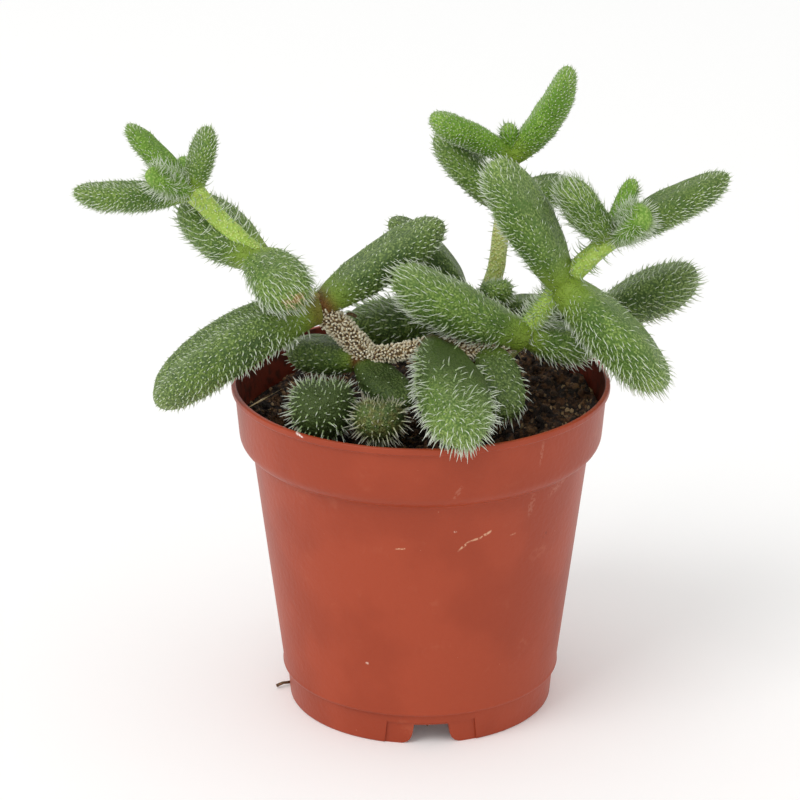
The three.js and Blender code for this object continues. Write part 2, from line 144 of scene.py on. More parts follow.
# What a leaf has unless its own line says otherwise. arch lifts its middle towards its face, roll turns the
# face about its length, plump is its thickness and channel the depth of the groove along its face. Its
# bristles' length is also multiplied by foot_long at the foot, by tip_long at the tip and by upper on the
# face. face_end is how far along the bare part of the face reaches, and bare_tip how bare the tip is. dry and
# dry_tip are how brown the bristles are, blush how brown the foot is, and shade and shade_tip how much
# darker and more olive the skin is painted: partly a deeper green, partly painted shadow where leaves lie
# under others.
PLAIN_LEAF = {
    "arch": 0, "roll": 0, "plump": 1, "channel": 0.1, "girth": 0.17, "blunt": 0, "curl": 0.35, "lean": 0.35,
    "unruly": 0.4, "foot_long": 0.7, "tip_long": 1.1, "upper": 0.7, "face_end": 0.75, "bare_tip": 0,
    "dry": 0, "dry_tip": 0, "blush": 0.1, "shade": 0, "shade_tip": 0,
}
# These set the leaf's line, and its tree gets the line that they give
LINE_KEYS = ("arch", "roll")

# Each leaf's look, node, tip and width, its bristles' length and spacing, how bare its face is of them, and
# what else sets it apart
LEAVES = {
    "left_long": ("old_leaf", "leftFork", (-37, -11, 48.8), 9.9, 1.1, 0.64, 0.1, {
        "arch": 2.4, "foot_long": 1.15, "tip_long": 0.5, "upper": 0.5, "channel": 0.24, "blush": 0.5,
        "girth": 0.19, "lean": 0.1}),
    "left_inner": ("old_leaf", "leftFork", (3, 3, 71), 7.6, 0.7, 0.68, 0.5, {
        "arch": 0.4, "upper": 0.5, "blush": 0.8, "girth": 0.2}),
    "left_behind": ("leaf", "leftElbow", (-33, 4, 74.5), 8.6, 1.2, 0.62, 0.2, {
        "arch": -0.6, "shade": 0.25}),
    "left_towards": ("leaf", "leftElbow", (-17.5, -14, 65.5), 8, 1.7, 0.56, 0.3, {
        "arch": 0.3, "dry_tip": 1, "curl": 0.4, "lean": 0.8, "girth": 0.14, "upper": 1}),
    "left_tip_out": ("leaf", "leftTop", (-48, -5, 78.1), 5.3, 0.7, 0.44, 0.1, {
        "arch": -0.5, "channel": 0.2, "girth": 0.15, "shade": 0.1, "shade_tip": 0.15}),
    "left_tip_up": ("leaf", "leftTop", (-29.5, -1, 86.5), 4.5, 0.6, 0.42, 0.1, {"girth": 0.15}),
    "left_tip_back": ("young_leaf", "leftTop", (-41, 3, 85.5), 3.9, 0.55, 0.42, 0.85, {
        "arch": -0.2, "girth": 0.13, "shade": 0.3, "shade_tip": 0.3}),
    "left_bud": ("young_leaf", "leftTop", (-37.5, -9, 82), 3.8, 1.6, 0.33, 0.2, {
        "roll": -40, "channel": 0.3, "girth": 0.12, "curl": 0.5, "lean": 0, "tip_long": 1, "upper": 1,
        "bare_tip": 1}),
    "left_bud_back": ("young_leaf", "leftTop", (-33.5, 4, 80.5), 2.8, 0.9, 0.45, 0.85, {"girth": 0.12}),
    "fork_right": ("old_leaf", "fork", (-1.5, -12, 49.4), 6.8, 0.7, 0.8, 0.85, {
        "arch": -1, "plump": 0.85, "upper": 0.5, "blush": 1, "shade": 0.7, "shade_tip": 0.4}),
    "fork_left": ("old_leaf", "fork", (-19, 1, 53), 6.8, 0.7, 0.9, 0.85, {
        "upper": 0.5, "blush": 1, "shade": 0.3, "shade_tip": 0.2}),
    "front_long": ("leaf", "frontFork", (5.5, -31.5, 52), 10, 1.8, 0.62, 0.95, {
        "arch": 0.6, "roll": -25, "shade": 0.8, "blush": 0.4, "face_end": 0.4, "upper": 1, "tip_long": 1,
        "lean": 0.25}),
    "front_hanging": ("old_leaf", "lowFork", (12, -13, 47.5), 6.6, 1.5, 0.75, 0.2, {
        "arch": 0.8, "shade": 0.4, "shade_tip": 0.3}),
    "right_long": ("leaf", "rightFork", (-3.5, -8, 67.5), 9.4, 1.6, 0.7, 0.6, {
        "arch": -0.2, "curl": 0.4, "lean": 0.5}),
    "right_low": ("leaf", "rightFork", (25, 1, 53.5), 7, 1.3, 0.62, 0.5, {}),
    "right_raised": ("leaf", "rightElbow", (9.5, -6, 82.5), 8.6, 1.1, 0.58, 0.85, {
        "arch": 0.9, "roll": -35, "girth": 0.15, "curl": 0.4}),
    "right_hanging": ("leaf", "rightElbow", (34, -10, 51), 9.6, 1.4, 0.62, 0.85, {
        "arch": 0.6, "roll": -15, "girth": 0.15, "curl": 0.4}),
    "right_tip_left": ("leaf", "rightTop", (20.3, -6, 80.4), 6.1, 1.5, 0.44, 0.3, {
        "arch": -0.4, "lean": 0.5, "girth": 0.11, "curl": 0.6, "unruly": 0.5}),
    "right_tip_out": ("leaf", "rightTop", (43, 2, 78.4), 6.3, 0.75, 0.48, 0.85, {
        "arch": 0.1, "girth": 0.14, "shade": 0.4, "shade_tip": 0.4}),
    "right_bud": ("young_leaf", "rightTop", (31, -7.5, 76), 4.6, 1.6, 0.31, 0, {
        "roll": 55, "channel": 0.3, "girth": 0.11, "curl": 0.4, "lean": 0, "tip_long": 1, "upper": 1,
        "bare_tip": 1}),
    "right_bud_back": ("young_leaf", "rightTop", (30, 3, 77.5), 3.4, 0.8, 0.4, 0.4, {"girth": 0.12}),
    "middle": ("old_leaf", "backFoot", (-10.5, 2, 56), 8.4, 1.4, 0.85, 0, {
        "girth": 0.24, "upper": 1, "lean": 0.6}),
    "back_inner": ("old_leaf", "backFoot", (-4.5, 11, 69), 6.2, 0.8, 0.8, 0.85, {
        "arch": 1.6, "upper": 0.5}),
    "back_stub": ("leaf", "backFork", (11.5, 3, 61), 4.2, 1.2, 0.55, 0, {}),
    "back_left": ("leaf", "backElbow", (2.5, 15, 81), 6.6, 0.7, 0.58, 0.4, {}),
    "back_right": ("leaf", "backElbow", (22, 17, 72.5), 6, 0.9, 0.65, 0.5, {}),
    "back_tip_left": ("young_leaf", "backTop", (1.5, 8, 85), 5.3, 0.45, 0.44, 0.3, {
        "arch": 0.4, "girth": 0.13}),
    "back_tip_right": ("young_leaf", "backTop", (21, 12, 91.3), 5.6, 0.45, 0.44, 0.3, {
        "arch": -1, "girth": 0.13}),
    "back_bud": ("young_leaf", "backTop", (12.5, 12, 83), 3, 0.8, 0.38, 0, {"girth": 0.12}),
    "side_out": ("old_leaf", "sideTop", (39.5, 8, 62), 8.4, 1.3, 0.66, 0.1, {}),
    "side_in": ("old_leaf", "sideTop", (12, 13, 55.5), 5.6, 1, 0.76, 0.8, {
        "shade": 0.3, "shade_tip": 0.3}),
    "front_ball": ("old_leaf", "frontLeftFoot", (-14, -19, 51.5), 8.8, 2, 0.78, 0, {
        "plump": 1.2, "lean": 0.2, "shade": 1, "shade_tip": 1}),
    "front_low": ("old_leaf", "frontFoot", (-6, -20.5, 50.3), 7.2, 1.8, 0.74, 0, {
        "lean": 0.3, "dry": 0.4, "dry_tip": 0.4, "shade": 0.7, "shade_tip": 0.5}),
}

# NODE TREES

# The kinds of node that are used most
MATH = "ShaderNodeMath"
VECTOR_MATH = "ShaderNodeVectorMath"


def live_output(value):
    """The socket that a value stands for, where it is a node or a socket, or else None."""
    if isinstance(value, bpy.types.Node):
        return next(socket for socket in value.outputs if socket.enabled)
    return value if isinstance(value, bpy.types.NodeSocket) else None


def add(tree, kind, inputs=(), curve=(), **settings):
    """Adds a node with its settings. inputs gives its sockets, in order or by name, a value, what is linked
    to them or a list of that, and curve the points of a curve that it holds."""
    node = tree.nodes.new(kind)
    for key, value in settings.items():
        setattr(node, key, value)
    for place in curve[1:-1]:
        node.mapping.curves[0].points.new(*place)
    if curve:
        node.mapping.curves[0].points[0].location = curve[0]
        node.mapping.curves[0].points[len(curve) - 1].location = curve[-1]
        node.mapping.update()
    for key, value in inputs.items() if isinstance(inputs, dict) else enumerate(inputs):
        if isinstance(key, str):
            socket = next(s for s in node.inputs if s.enabled and s.name == key)
        else:
            socket = node.inputs[key]
        for source in value if isinstance(value, list) else [value]:
            if live_output(source):
                tree.links.new(live_output(source), socket)
            else:
                socket.default_value = source
    return node


def new_tree(name, inputs):
    """A Geometry Nodes tree with these named inputs and a geometry: the tree and its inputs."""
    tree = bpy.data.node_groups.new(name, "GeometryNodeTree")
    for label, kind in {"Geometry": "Geometry", **inputs}.items():
        tree.interface.new_socket(label, in_out="INPUT", socket_type="NodeSocket" + kind)
    tree.interface.new_socket("Geometry", in_out="OUTPUT", socket_type="NodeSocketGeometry")
    return tree, tree.nodes.new("NodeGroupInput").outputs


def grown(name, tree, values, start=None):
    """The plain mesh that a tree makes of a starting mesh with these inputs, as a piece at the origin."""
    source = linked(name + "_start", start or bpy.data.meshes.new(name + "_start"))
    modifier = source.modifiers.new("growth", "NODES")
    modifier.node_group = tree
    for item in tree.interface.items_tree:
        if item.in_out == "INPUT" and item.name in values:
            modifier[item.identifier] = values[item.name]
    depsgraph = bpy.context.evaluated_depsgraph_get()
    finished = source.evaluated_get(depsgraph)
    mesh = bpy.data.meshes.new_from_object(finished, preserve_all_data_layers=True, depsgraph=depsgraph)
    bpy.data.objects.remove(source)
    return linked(name, mesh)


COAT_INPUTS = {**{key: "Float" for key in COAT}, "bristle": "Material", "seed": "Int"}
# A bristle's rings crowd towards its foot, and its taper gives their radii from the blister up to the tip
BRISTLE_RINGS = 5
BRISTLE_SIDES = 4
BRISTLE_CROWDING = 1.7
BRISTLE_TAPER = [(0, 1), (0.25, 0.55), (0.5, 0.4), (0.75, 0.3), (1, 0.07)]
BRISTLE_SUNK = 0.08
SHORTEST_BRISTLE = 0.55
LONGEST_BRISTLE = 1.25
# How many times more tries there are than would fit at a spacing
TRIES = 3.0


def bristle_tree():
    """Bristles all over a surface. The surface's attributes say how thick and how long they grow at each
    place, and growth is the way that they lean and curl."""
    tree, given = new_tree("bristles", COAT_INPUTS)
    growth = add(tree, "GeometryNodeInputNamedAttribute", {"Name": "growth"}, data_type="FLOAT_VECTOR")
    thick = add(tree, "GeometryNodeInputNamedAttribute", {"Name": "thick_here"})
    long = add(tree, "GeometryNodeInputNamedAttribute", {"Name": "long_here"})
    tries = add(tree, MATH, (given["spacing"], 2.0), operation="POWER")
    tries = add(tree, MATH, (TRIES, tries), operation="DIVIDE")
    spots = add(tree, "GeometryNodeDistributePointsOnFaces", {
        "Mesh": given["Geometry"], "Distance Min": given["spacing"], "Density Max": tries,
        "Density Factor": thick, "Seed": given["seed"]}, distribute_method="POISSON")

    # One bristle, a unit long, from a flared foot below the surface to a fine tip that curls to one side
    spine = add(tree, "GeometryNodeCurvePrimitiveLine", {"End": (0, 0, 1)})
    spine = add(tree, "GeometryNodeResampleCurve", {"Curve": spine, "Count": BRISTLE_RINGS})
    share = add(tree, "GeometryNodeSplineParameter").outputs["Factor"]
    height = add(tree, MATH, (share, BRISTLE_CROWDING), operation="POWER")
    bend = add(tree, MATH, (height, height), operation="MULTIPLY")
    bend = add(tree, MATH, (bend, given["curl"]), operation="MULTIPLY")
    height = add(tree, "ShaderNodeMapRange", {"Value": height, "To Min": -BRISTLE_SUNK})
    place = add(tree, "ShaderNodeCombineXYZ", {"X": bend, "Z": height})
    spine = add(tree, "GeometryNodeSetPosition", {"Geometry": spine, "Position": place})
    taper = add(tree, "ShaderNodeFloatCurve", {"Value": share}, curve=BRISTLE_TAPER)
    taper = add(tree, MATH, (taper, given["blunt"]), operation="MAXIMUM")
    spine = add(tree, "GeometryNodeStoreNamedAttribute", {
        "Geometry": spine, "Name": "up", "Value": share})
    radius = add(tree, MATH, (given["girth"], given["length"]), operation="DIVIDE")
    ring = add(tree, "GeometryNodeCurvePrimitiveCircle", {"Resolution": BRISTLE_SIDES, "Radius": radius})
    needle = add(tree, "GeometryNodeCurveToMesh", {
        "Curve": spine, "Profile Curve": ring.outputs["Curve"], "Scale": taper, "Fill Caps": True})

    way = add(tree, VECTOR_MATH, {0: growth, "Scale": given["lean"]}, operation="SCALE")
    way = add(tree, VECTOR_MATH, (way, spots.outputs["Normal"]), operation="ADD")
    stray = add(tree, "FunctionNodeRandomValue", {
        "Min": (-1, -1, -1), "Max": (1, 1, 1), "Seed": given["seed"]}, data_type="FLOAT_VECTOR")
    stray = add(tree, VECTOR_MATH, {0: stray, "Scale": given["unruly"]}, operation="SCALE")
    way = add(tree, VECTOR_MATH, (way, stray), operation="ADD")
    turn = add(tree, "FunctionNodeAlignRotationToVector", {"Vector": way}, axis="Z")
    turn = add(tree, "FunctionNodeAlignRotationToVector", {
        "Rotation": turn, "Vector": growth}, axis="X", pivot_axis="Z")
    varied = add(tree, "FunctionNodeRandomValue", {
        "Min": SHORTEST_BRISTLE, "Max": LONGEST_BRISTLE, "Seed": given["seed"]})
    size = add(tree, MATH, (given["length"], varied), operation="MULTIPLY")
    size = add(tree, MATH, (size, long), operation="MULTIPLY")
    # A short bristle is stouter for its length: its thickness goes half way with it
    stout = add(tree, MATH, (size, given["length"]), operation="ADD")
    stout = add(tree, MATH, (stout, 0.5), operation="MULTIPLY")
    size = add(tree, "ShaderNodeCombineXYZ", {"X": stout, "Y": stout, "Z": size})
    standing = add(tree, "GeometryNodeInstanceOnPoints", {
        "Points": spots, "Instance": needle, "Rotation": turn, "Scale": size})
    standing = add(tree, "GeometryNodeRealizeInstances", {"Geometry": standing})
    standing = add(tree, "GeometryNodeSetShadeSmooth", {"Geometry": standing})
    standing = add(tree, "GeometryNodeSetMaterial", {"Geometry": standing, "Material": given["bristle"]})
    add(tree, "NodeGroupOutput", {"Geometry": standing})
    return tree


def leaf_outline(t):
    """A leaf's width at share t of its length, against its full width: a neck, a full middle, a round tip."""
    if t < WIDEST_AT:
        return NECK + (1 - NECK) * math.sin(math.pi / 2 * t / WIDEST_AT)
    return math.sqrt(max(0, 1 - ((t - WIDEST_AT) / (1 - WIDEST_AT)) ** TIP_POWER))


def leaf_tree(bristles):
    """A leaf of half-round section, swept along an arched line from its node to its tip, and its bristles."""
    tree, given = new_tree("fleshy leaf", {
        "base": "Vector", "middle": "Vector", "tip": "Vector", "face": "Vector", "width": "Float",
        "bare": "Float", **{key: "Float" for key in PLAIN_LEAF if key not in LINE_KEYS},
        **COAT_INPUTS, "skin": "Material"})

    # A ball's height is the share of the leaf's length, and its longitude goes round the leaf
    ball = add(tree, "GeometryNodeMeshUVSphere", {"Segments": LEAF_SIDES, "Rings": LEAF_RINGS})
    spot = add(tree, "ShaderNodeSeparateXYZ", {0: add(tree, "GeometryNodeInputPosition")})
    along = add(tree, "ShaderNodeMapRange", {"Value": spot.outputs["Z"], "From Min": -1.0})
    round_spot = add(tree, "ShaderNodeCombineXYZ", {"X": spot.outputs["X"], "Y": spot.outputs["Y"]})
    round_spot = add(tree, VECTOR_MATH, {0: round_spot}, operation="NORMALIZE")
    round_spot = add(tree, "ShaderNodeSeparateXYZ", {0: round_spot})
    across, facing = round_spot.outputs["X"], round_spot.outputs["Y"]

    line = add(tree, "GeometryNodeCurveQuadraticBezier", {
        "Resolution": LINE_STEPS, "Start": given["base"], "Middle": given["middle"], "End": given["tip"]})
    on_line = add(tree, "GeometryNodeSampleCurve", {"Curves": line, "Factor": along}, mode="FACTOR")
    tangent = on_line.outputs["Tangent"]
    drop = add(tree, VECTOR_MATH, (given["face"], tangent), operation="PROJECT")
    up = add(tree, VECTOR_MATH, (given["face"], drop), operation="SUBTRACT")
    up = add(tree, VECTOR_MATH, {0: up}, operation="NORMALIZE")
    side = add(tree, VECTOR_MATH, (up, tangent), operation="CROSS_PRODUCT")

    # The face is flatter than half a circle and has a groove along it, and the back is round
    on_face = add(tree, MATH, (facing, 0.0), operation="GREATER_THAN")
    sizes = [add(tree, MATH, {0: part}, operation="ABSOLUTE") for part in (across, facing)]
    powers = [add(tree, MATH, (size, FACE_SQUARENESS), operation="POWER") for size in sizes]
    total = add(tree, MATH, powers, operation="ADD")
    square = add(tree, MATH, (total, -1 / FACE_SQUARENESS), operation="POWER")
    swell = add(tree, "GeometryNodeSwitch", {
        "Switch": on_face, "False": 1.0, "True": square}, input_type="FLOAT")
    floor = add(tree, MATH, (1.0, given["channel"]), operation="SUBTRACT")
    groove = add(tree, "ShaderNodeMapRange", {
        "Value": sizes[0], "From Max": GROOVE_EDGE, "To Min": floor}, interpolation_type="SMOOTHSTEP")
    face_depth = add(tree, MATH, (groove, FACE_DEPTH), operation="MULTIPLY")
    depth = add(tree, "GeometryNodeSwitch", {
        "Switch": on_face, "False": BACK_DEPTH, "True": face_depth}, input_type="FLOAT")
    depth = add(tree, MATH, (depth, given["plump"]), operation="MULTIPLY")

    shares = [1 - (1 - step / OUTLINE_STEPS) ** 2 for step in range(OUTLINE_STEPS + 1)]
    outline = add(tree, "ShaderNodeFloatCurve", {
        "Value": along}, curve=[(share, leaf_outline(share)) for share in shares])
    wide = add(tree, MATH, (outline, given["width"]), operation="MULTIPLY")
    wide = add(tree, MATH, (wide, swell), operation="MULTIPLY")
    place = on_line.outputs["Position"]
    for way, share, size in ((side, across, 0.5), (up, facing, depth)):
        offset = add(tree, MATH, (wide, share), operation="MULTIPLY")
        offset = add(tree, MATH, (offset, size), operation="MULTIPLY")
        offset = add(tree, VECTOR_MATH, {0: way, "Scale": offset}, operation="SCALE")
        place = add(tree, VECTOR_MATH, (place, offset), operation="ADD")

    # What changes along a leaf, or round it from -1 on its back to 1 on its face: where that starts and ends,
    # and the value at either end. Bristles start above the foot, and they are few and short on the face.
    tip_kept = add(tree, MATH, (1.0, given["bare_tip"]), operation="SUBTRACT")
    changes = {
        "flat": (facing, 0.3, 0.75, 0.0, 1.0, "SMOOTHSTEP"),
        "inward": (along, 0.95, given["face_end"], 0.0, 1.0, "SMOOTHSTEP"),
        "short": (facing, -0.35, 0.45, 1.0, given["upper"], "SMOOTHSTEP"),
        "furred": (along, 0.05, 0.2, 0.0, 1.0, "LINEAR"),
        "kept": (along, 0.82, 0.92, 1.0, tip_kept, "LINEAR"),
        "long": (along, 0.0, 1.0, given["foot_long"], given["tip_long"], "LINEAR"),
        "dry": (along, 0.955, 0.985, given["dry"], given["dry_tip"], "LINEAR"),
        # shade is painted shade: a darker olive skin, partly a deeper green and partly painted shadow of
        # leaves above
        "shade": (along, 0.5, 0.95, given["shade"], given["shade_tip"], "LINEAR"),
    }
    here = {label: add(tree, "ShaderNodeMapRange", {
        "Value": value, "From Min": start, "From Max": end, "To Min": low, "To Max": high},
        interpolation_type=kind) for label, (value, start, end, low, high, kind) in changes.items()}
    bald = add(tree, MATH, (here["flat"], here["inward"]), operation="MULTIPLY")
    bald = add(tree, MATH, (bald, given["bare"]), operation="MULTIPLY")
    thick = add(tree, MATH, (1.0, bald), operation="SUBTRACT")
    for share in ("furred", "kept"):
        thick = add(tree, MATH, (thick, here[share]), operation="MULTIPLY")
    long = add(tree, MATH, (here["long"], here["short"]), operation="MULTIPLY")
    dry = add(tree, MATH, (here["dry"], given["dry"]), operation="MAXIMUM")

    skin = ball.outputs["Mesh"]
    kept = {"along": along, "facing": facing, "thick_here": thick, "long_here": long, "dry": dry,
            "blush": given["blush"], "shade": here["shade"], "growth": tangent}
    for label, value in kept.items():
        skin = add(tree, "GeometryNodeStoreNamedAttribute", {"Geometry": skin, "Name": label, "Value": value},
                   data_type="FLOAT_VECTOR" if label == "growth" else "FLOAT")
    skin = add(tree, "GeometryNodeSetPosition", {"Geometry": skin, "Position": place})
    skin = uneven(tree, skin, given["seed"], LEAF_WAVES)
    return coated(tree, skin, given, bristles)


def coated(tree, skin, given, bristles):
    """Ends a tree with its skin and the bristles that grow on it."""
    skin = add(tree, "GeometryNodeSetShadeSmooth", {"Geometry": skin})
    coat = add(tree, "GeometryNodeGroup", {
        "Geometry": skin, **{key: given[key] for key in COAT_INPUTS}}, node_tree=bristles)
    skin = add(tree, "GeometryNodeSetMaterial", {"Geometry": skin, "Material": given["skin"]})
    whole = add(tree, "GeometryNodeJoinGeometry", {"Geometry": [coat, skin]})
    add(tree, "NodeGroupOutput", {"Geometry": whole})
    return tree


def uneven(tree, geometry, seed, waves):
    """The surface pushed in and out by waves, each of a length and a height in millimetres."""
    for length, height in waves:
        wave = add(tree, "ShaderNodeTexNoise", {"W": seed, "Scale": 1 / (length * MM), "Detail": 1.0},
                   noise_dimensions="4D")
        push = add(tree, "ShaderNodeMapRange", {
            "Value": wave.outputs[0], "To Min": -height * MM, "To Max": height * MM})
        push = add(tree, VECTOR_MATH, {
            0: add(tree, "GeometryNodeInputNormal"), "Scale": push}, operation="SCALE")
        geometry = add(tree, "GeometryNodeSetPosition", {"Geometry": geometry, "Offset": push})
    return geometry


def stem_tree(bristles):
    """A stem along a line of points, whose attributes are its thickness and how hairy it is, with hairs."""
    tree, given = new_tree("hairy stem", {**COAT_INPUTS, "skin": "Material"})
    line = add(tree, "GeometryNodeMeshToCurve", {"Mesh": given["Geometry"]})
    kept = {"growth": add(tree, "GeometryNodeInputTangent"),
            "along": add(tree, "GeometryNodeSplineParameter").outputs["Factor"], "long_here": 1.0}
    for label, value in kept.items():
        line = add(tree, "GeometryNodeStoreNamedAttribute", {"Geometry": line, "Name": label, "Value": value},
                   data_type="FLOAT_VECTOR" if label == "growth" else "FLOAT")
    thickness = add(tree, "GeometryNodeInputNamedAttribute", {"Name": "thickness"})
    ring = add(tree, "GeometryNodeCurvePrimitiveCircle", {"Resolution": STEM_SIDES})
    skin = add(tree, "GeometryNodeCurveToMesh", {
        "Curve": line, "Profile Curve": ring.outputs["Curve"], "Scale": thickness, "Fill Caps": True})
    skin = uneven(tree, skin, given["seed"], STEM_WAVES)
    return coated(tree, skin, given, bristles)


# MATERIALS


def colour(code):
    """An sRGB hex colour such as b0533a, in linear light with full alpha."""
    parts = [int(code[i:i + 2], 16) / 255 for i in (0, 2, 4)]
    return (*(c / 12.92 if c <= 0.04045 else ((c + 0.055) / 1.055) ** 2.4 for c in parts), 1)


# The blisters of the skin are about 0.15 mm across, and drawn coarser, so that they show
LEAF_BLISTERS = ("cells", 0.36)
STEM_BLISTERS = ("cells", 0.35)


def pattern(tree, follows, start, full, most=1.0):
    """A pattern that is 0 at start and most at full. It follows an attribute by its name, the lumps of a
    noise or the distance from the middle of cells by their size in millimetres, or a mark's distance."""
    place = add(tree, "ShaderNodeTexCoord").outputs["Object"]
    if isinstance(follows, str):
        value = add(tree, "ShaderNodeAttribute", attribute_name=follows).outputs["Fac"]
    elif isinstance(follows, float):
        value = add(tree, "ShaderNodeTexNoise", {"Vector": place, "Scale": 1 / (follows * MM), "Detail": 3.0})
    elif follows[0] == "cells":
        value = add(tree, "ShaderNodeTexVoronoi", {"Vector": place, "Scale": 1 / (follows[1] * MM)})
    else:
        value = smear(tree, place, *follows)
    return add(tree, "ShaderNodeMapRange", {
        "Value": value, "From Min": start, "From Max": full, "To Max": most},
        interpolation_type="SMOOTHSTEP")


# How far a mark reaches into the wall, in millimetres, and how many wobbles its edge has in half its length
MARK_DEPTH = 4
MARK_WOBBLES = 1.5


def smear(tree, place, middle, turn, length, width):
    """The distance of a place from a mark on the pot's front, 1 at the mark's edge: the mark's middle in
    millimetres, its turn in degrees, and its length and width."""
    place = add(tree, "ShaderNodeMapping", {
        "Vector": place, "Location": placed(middle), "Rotation": (0, math.radians(-turn), 0),
        "Scale": (length * MM / 2, MARK_DEPTH * MM, width * MM / 2)}, vector_type="TEXTURE")
    wobble = add(tree, "ShaderNodeTexNoise", {"Vector": place, "Scale": MARK_WOBBLES})
    distance = add(tree, VECTOR_MATH, {0: place}, operation="LENGTH")
    return add(tree, MATH, (distance.outputs["Value"], wobble), operation="ADD")


def finish(name, base, layers=(), reliefs=(), **sockets):
    """A material with its shader's plain settings, painted and embossed. A layer is its colour, its share at
    most, and the patterns that it follows together. A relief is its height in millimetres and its pattern."""
    made = bpy.data.materials.new(name)
    made.use_nodes = True
    tree = made.node_tree
    shader = tree.nodes["Principled BSDF"]
    for key, value in {**sockets, "Base_Color": colour(base)}.items():
        shader.inputs[key.replace("_", " ")].default_value = value
    tone = colour(base)
    for code, most, *patterns in layers:
        share = pattern(tree, *patterns[0], most)
        for more in patterns[1:]:
            share = add(tree, MATH, (share, pattern(tree, *more)), operation="MULTIPLY")
        tone = add(tree, "ShaderNodeMix", {"Factor": share, "A": tone, "B": colour(code)}, data_type="RGBA")
        tree.links.new(live_output(tone), shader.inputs["Base Color"])
    relief = None
    for height, *follows in reliefs:
        inputs = {"Strength": 1.0, "Distance": height * MM, "Height": pattern(tree, *follows)}
        if relief:
            inputs["Normal"] = relief
        relief = add(tree, "ShaderNodeBump", inputs)
        tree.links.new(live_output(relief), shader.inputs["Normal"])
    return made


def leaf_skin(name, deep, body, light, bloom):
    """Waxy skin over flesh full of water: light soaks into it a little, it has a soft sheen, pale blisters
    all over, a greyer flat face, a lighter tip, a fresh green foot that browns as it ages, and painted shade:
    a darker olive, partly a deeper green and partly painted shadow where leaves lie under others."""
    return finish(name, body, [
        (deep, 0.8, (4.0, 0.58, 0.4)),
        (light, 0.3, ("along", 0.7, 1)),
        (bloom, 0.55, ("facing", 0.35, 0.9), ("along", 0.98, 0.85), ("along", 0.08, 0.3)),
        (deep, 0.8, (LEAF_BLISTERS, 0.45, 0.75)),
        (light, 0.5, (LEAF_BLISTERS, 0.5, 0.2), (1.2, 0.3, 0.6)),
        # Painted shade: darker olive, partly a deeper green and partly painted shadow of the leaves above
        ("36461a", 0.85, ("shade", 0, 1)),
        ("8aa638", 0.8, ("along", 0.32, 0.05), ("shade", 1, 0)),
        ("7a4526", 1, ("along", 0.14, 0.02), ("blush", 0, 1)),
        ("b48a58", 0.7, ("dry", 0.1, 1), (1.0, 0.4, 0.6)),
    ], [(0.14, LEAF_BLISTERS, 0.7, 0.2), (0.12, 0.9, 0.3, 0.7)],
        Roughness=0.45, IOR=1.42, Specular_IOR_Level=0.35,
        Subsurface_Weight=0.12, Subsurface_Scale=0.001, Subsurface_Radius=(0.7, 1.0, 0.25))


def bristle_look(name, root, tip, dried):
    """A dry glassy bristle, the colour of the skin at its root and pale from there on."""
    return finish(name, root, [(tip, 1, ("up", 0.1, 0.7)), (dried, 1, ("dry", 0, 1))], Roughness=0.35)


def stem_skin(name, deep, body, light, stain, foot):
    """The skin of a stem, fine-grained and moist while it is young and stained with brown as it ages."""
    return finish(name, body, [
        (deep, 0.8, (3.0, 0.6, 0.4)),
        (stain, 0.6, (1.3, 0.5, 0.72)),
        (deep, 0.8, (STEM_BLISTERS, 0.5, 0.8)),
        (light, 0.7, (STEM_BLISTERS, 0.5, 0.2)),
        (foot, 0.9, ("along", 0.12, 0.02)),
    ], [(0.1, STEM_BLISTERS, 0.7, 0.2), (0.1, 0.6, 0.3, 0.7)],
        Roughness=0.45, Subsurface_Weight=0.15, Subsurface_Scale=0.001)


def peat_look():
    """Moist peat: matt, almost black where it is wet, with brown crumbs and straw-coloured fibres."""
    return finish("moist_peat", "24160e", [
        ("6a4729", 1, (1.3, 0.45, 0.65)),
        ("946e48", 0.8, ("tone", 0.35, 0.9), (0.7, 0.35, 0.6)),
        ("c4a47a", 0.9, ("tone", 0.95, 1.2)),
    ], [(0.25, 0.5, 0.3, 0.7), (0.08, 0.15, 0.3, 0.7)], Roughness=0.85)


# Marks on the front of the pot: middle, turn, length, width, colour and strength
POT_MARKS = [
    ((5.9, -22.6, 32.4), 42, 2.2, 0.4, "d8a684", 0.9),
    ((7.5, -22.3, 33.2), 14, 2, 0.35, "d8a684", 0.8),
    ((9, -21.8, 33.8), 28, 2.2, 0.45, "d8a684", 0.9),
    ((4.7, -23.2, 34.8), 0, 0.5, 0.5, "e8c8b4", 0.6),
    ((12.8, -19.7, 32.9), 10, 0.9, 0.3, "d8a684", 0.4),
    ((-2.8, -23.2, 32.2), 7, 1.8, 0.3, "d8a684", 0.8),
    ((-16.7, -20.8, 48.3), -14, 1.3, 0.35, "f0e2da", 0.9),
    ((16.6, -20.7, 45.5), 84, 4.2, 0.5, "cf9880", 0.22),
    ((15.4, -18.5, 36.8), 80, 4, 1, "cf9880", 0.2),
    ((5, -25.6, 41.6), 60, 2.6, 0.7, "cf9880", 0.2),
    ((19.2, -16, 38), 35, 4, 1.2, "cf9880", 0.22),
    ((17.4, -15.6, 31), 60, 1.2, 0.5, "6a2a18", 0.5),
    ((-7.6, -19.5, 13), 0, 0.5, 0.5, "e8c8b4", 0.6),
]


